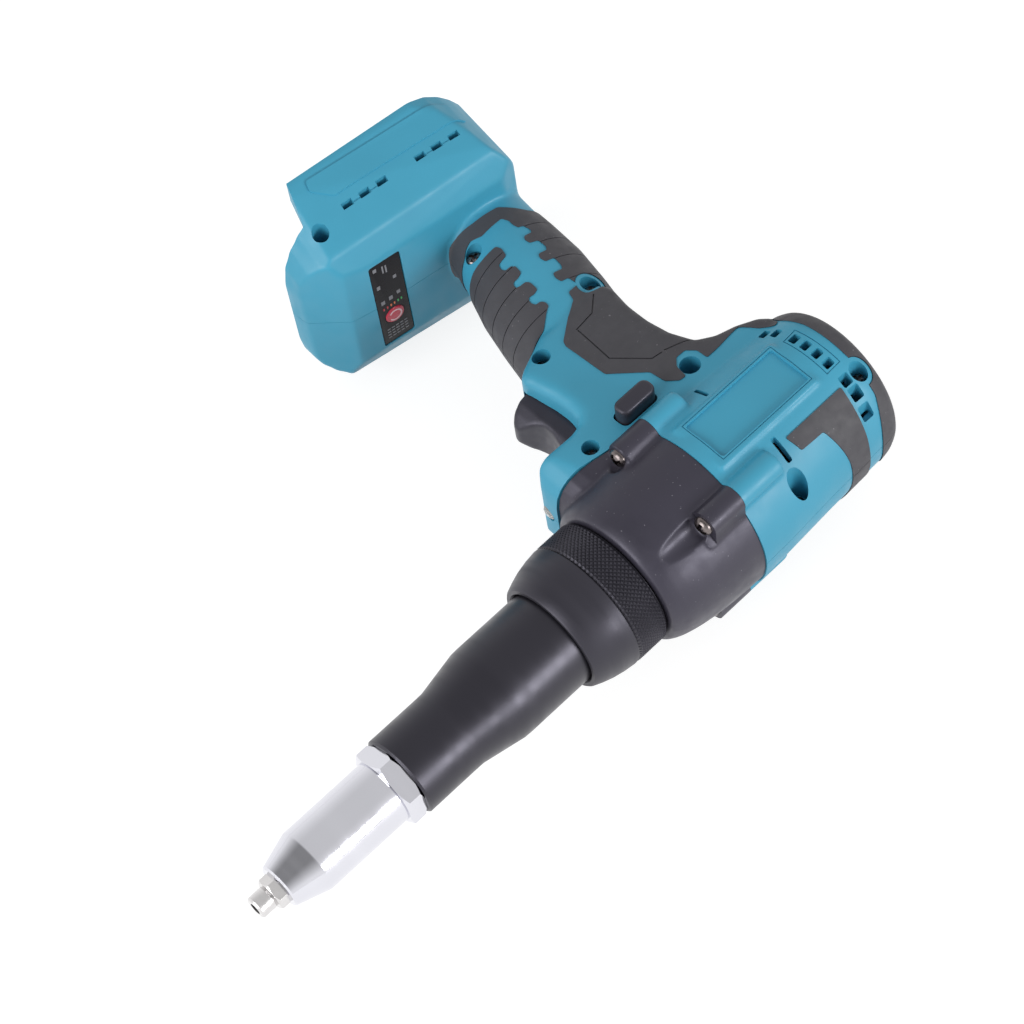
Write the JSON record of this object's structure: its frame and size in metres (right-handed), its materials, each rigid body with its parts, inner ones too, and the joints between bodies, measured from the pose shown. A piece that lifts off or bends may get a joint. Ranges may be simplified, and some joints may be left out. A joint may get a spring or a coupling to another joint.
{
  "type": "battery rivet tool",
  "caption": "Cordless pop rivet tool without its battery: pulling nose with union collar, planetary gear case, brushless motor, soft pistol grip and slide-on battery foot.",
  "frame": {"origin": "mouth of the nosepiece bore, on the barrel axis", "axes": "+X out of the nose, +Y from the foot up to the motor, +Z out of the right side: the tool lies on its left side"},
  "size_m": [0.2216, 0.1691, 0.079],
  "materials": {
    "teal_shell": "fine moulded texture",
    "soft_grip": "soft matte overmould",
    "black_plastic": "moulded satin",
    "gear_case": "satin moulded",
    "black_barrel": "satin black coating",
    "black_collar": "black oxide with diamond knurl",
    "chrome": "polished",
    "nickel": "bright nickel",
    "steel": "machined",
    "copper": "enamelled wire",
    "brass": "plain",
    "circuit_board": "solder mask",
    "aluminium": "die cast",
    "lens": "clear moulded",
    "panel": "printed membrane",
    "red_button": "membrane dome"
  },
  "bodies": {
    "tool": {"nosepiece": "nickel", "nose_sleeve": "chrome", "barrel": "black_barrel", "collar": "black_collar", "gear_case": "gear_case", "gear_case_screws": "steel", "spindle_bearing": "steel", "thrust_washer": "steel", "ring_gear": "steel", "motor_plate": "aluminium", "front_bearing": "steel", "rear_bearing": "steel", "stator_core": "steel", "stator_windings": "copper", "hall_board": "circuit_board", "housing_right": "teal_shell", "housing_left": "teal_shell", "grip_right": "soft_grip", "grip_left": "soft_grip", "bumper_right": "soft_grip", "bumper_left": "soft_grip", "accent_right": "soft_grip", "accent_left": "soft_grip", "housing_screws": "steel", "trigger_switch": "black_plastic", "led_lens": "lens", "control_panel": "panel", "panel_board": "circuit_board", "terminal_block": "black_plastic", "terminal_blades": "brass", "control_board": "circuit_board"},
    "rotor": {"motor_shaft": "steel", "rotor_core": "steel", "cooling_fan": "black_plastic"},
    "carrier_1": {"carrier_1": "steel"},
    "spindle": {"carrier_2": "steel", "pulling_screw": "steel"},
    "carriage": {"drive_nut": "brass", "pull_rod": "steel", "jaw_case": "steel", "jaw_spring": "steel"},
    "pusher": {"jaw_pusher": "steel"},
    "trigger": {"trigger": "black_plastic"},
    "lever": {"direction_lever": "black_plastic"},
    "button": {"power_button": "red_button"},
    "planet_1a": {"planet_1a": "steel"},
    "planet_1b": {"planet_1b": "steel"},
    "planet_1c": {"planet_1c": "steel"},
    "planet_2a": {"planet_2a": "steel"},
    "planet_2b": {"planet_2b": "steel"},
    "planet_2c": {"planet_2c": "steel"},
    "jaw_a": {"jaw_a": "steel"},
    "jaw_b": {"jaw_b": "steel"},
    "jaw_c": {"jaw_c": "steel"}
  },
  "joints": [
    {"name": "rotor_spin", "type": "hinge", "parent": "tool", "child": "rotor", "pos_m": [-0.1844, 0, 0], "axis": [1, 0, 0], "range_deg": [0, 36000]},
    {"name": "carrier_1_spin", "type": "hinge", "parent": "tool", "child": "carrier_1", "pos_m": [-0.1544, 0, 0], "axis": [1, 0, 0], "range_deg": [0, 7200]},
    {"name": "planet_1a_spin", "type": "hinge", "parent": "carrier_1", "child": "planet_1a", "pos_m": [-0.1614, 0.01125, 0], "axis": [1, 0, 0], "range_deg": [-19200, 0]},
    {"name": "planet_1b_spin", "type": "hinge", "parent": "carrier_1", "child": "planet_1b", "pos_m": [-0.1614, -0.00562, 0.00974], "axis": [1, 0, 0], "range_deg": [-19200, 0]},
    {"name": "planet_1c_spin", "type": "hinge", "parent": "carrier_1", "child": "planet_1c", "pos_m": [-0.1614, -0.00562, -0.00974], "axis": [1, 0, 0], "range_deg": [-19200, 0]},
    {"name": "spindle_spin", "type": "hinge", "parent": "tool", "child": "spindle", "pos_m": [-0.1394, 0, 0], "axis": [1, 0, 0], "range_deg": [0, 1440]},
    {"name": "planet_2a_spin", "type": "hinge", "parent": "spindle", "child": "planet_2a", "pos_m": [-0.1494, 0.01125, 0], "axis": [1, 0, 0], "range_deg": [-3840, 0]},
    {"name": "planet_2b_spin", "type": "hinge", "parent": "spindle", "child": "planet_2b", "pos_m": [-0.1494, -0.00562, 0.00974], "axis": [1, 0, 0], "range_deg": [-3840, 0]},
    {"name": "planet_2c_spin", "type": "hinge", "parent": "spindle", "child": "planet_2c", "pos_m": [-0.1494, -0.00562, -0.00974], "axis": [1, 0, 0], "range_deg": [-3840, 0]},
    {"name": "carriage_pull", "type": "slide", "parent": "tool", "child": "carriage", "axis": [-1, 0, 0], "range_m": [0, 0.02]},
    {"name": "jaw_a_close", "type": "slide", "parent": "carriage", "child": "jaw_a", "axis": [0.9781, 0, -0.2079], "range_m": [0, 0.00092011]},
    {"name": "jaw_b_close", "type": "slide", "parent": "carriage", "child": "jaw_b", "axis": [0.9781, 0.1801, 0.104], "range_m": [0, 0.00092011]},
    {"name": "jaw_c_close", "type": "slide", "parent": "carriage", "child": "jaw_c", "axis": [0.9781, -0.1801, 0.104], "range_m": [0, 0.00092011]},
    {"name": "pusher_follow", "type": "slide", "parent": "carriage", "child": "pusher", "axis": [1, 0, 0], "range_m": [0, 0.0009], "deforming": ["jaw_spring"]},
    {"name": "trigger_pull", "type": "slide", "parent": "tool", "child": "trigger", "axis": [-1, 0, 0], "range_m": [0, 0.007], "stiffness_N_per_m": 400},
    {"name": "lever_push", "type": "slide", "parent": "tool", "child": "lever", "axis": [0, 0, -1], "range_m": [0, 0.008]},
    {"name": "button_press", "type": "slide", "parent": "tool", "child": "button", "axis": [-0.1478, -0.989, 0], "range_m": [0, 0.0005], "stiffness_N_per_m": 1500}
  ],
  "couplings": [
    {"joint": "rotor_spin", "follows": "carriage_pull", "rad_per_m": 31416},
    {"joint": "carrier_1_spin", "follows": "carriage_pull", "rad_per_m": 6283.2},
    {"joint": "planet_1a_spin", "follows": "carriage_pull", "rad_per_m": -16755},
    {"joint": "planet_1b_spin", "follows": "carriage_pull", "rad_per_m": -16755},
    {"joint": "planet_1c_spin", "follows": "carriage_pull", "rad_per_m": -16755},
    {"joint": "spindle_spin", "follows": "carriage_pull", "rad_per_m": 1256.6},
    {"joint": "planet_2a_spin", "follows": "carriage_pull", "rad_per_m": -3351},
    {"joint": "planet_2b_spin", "follows": "carriage_pull", "rad_per_m": -3351},
    {"joint": "planet_2c_spin", "follows": "carriage_pull", "rad_per_m": -3351},
    {"joint": "jaw_a_close", "follows": "carriage_pull", "ratio": 0.046001},
    {"joint": "jaw_b_close", "follows": "carriage_pull", "ratio": 0.046001},
    {"joint": "jaw_c_close", "follows": "carriage_pull", "ratio": 0.046001},
    {"joint": "pusher_follow", "follows": "carriage_pull", "ratio": 0.044995}
  ]
}
